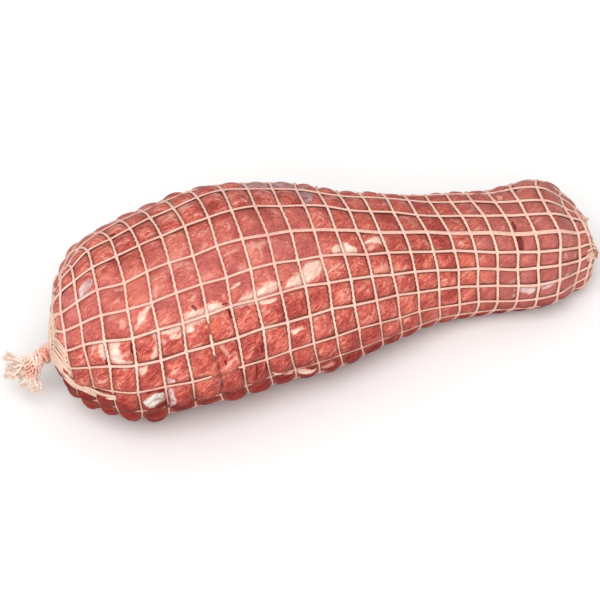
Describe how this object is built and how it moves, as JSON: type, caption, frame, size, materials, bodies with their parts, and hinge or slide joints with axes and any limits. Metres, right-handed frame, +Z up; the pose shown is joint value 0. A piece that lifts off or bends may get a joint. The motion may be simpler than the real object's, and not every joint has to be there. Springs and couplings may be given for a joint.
{
  "type": "veal roast",
  "caption": "Boneless raw veal roast in a stretched elastic net, thick at one end and tapering to the other, with the net's frayed tail at the thick end.",
  "frame": {"origin": "centre of the roast's footprint, on the surface it lies on", "axes": "+X along the roast from the thick tied end to the thin end, +Z up"},
  "size_m": [0.351, 0.133, 0.1002],
  "materials": {
    "raw_veal": "moist raw meat with cream fat",
    "net_cord": "knitted elastic cord, matte",
    "net_tail_cord": "frayed knitted cord, matte, stained pink by the meat"
  },
  "bodies": {
    "root": {"meat": "raw_veal", "net": "net_cord", "net_tail": "net_tail_cord", "net_end_gather": "net_cord"}
  },
  "joints": []
}
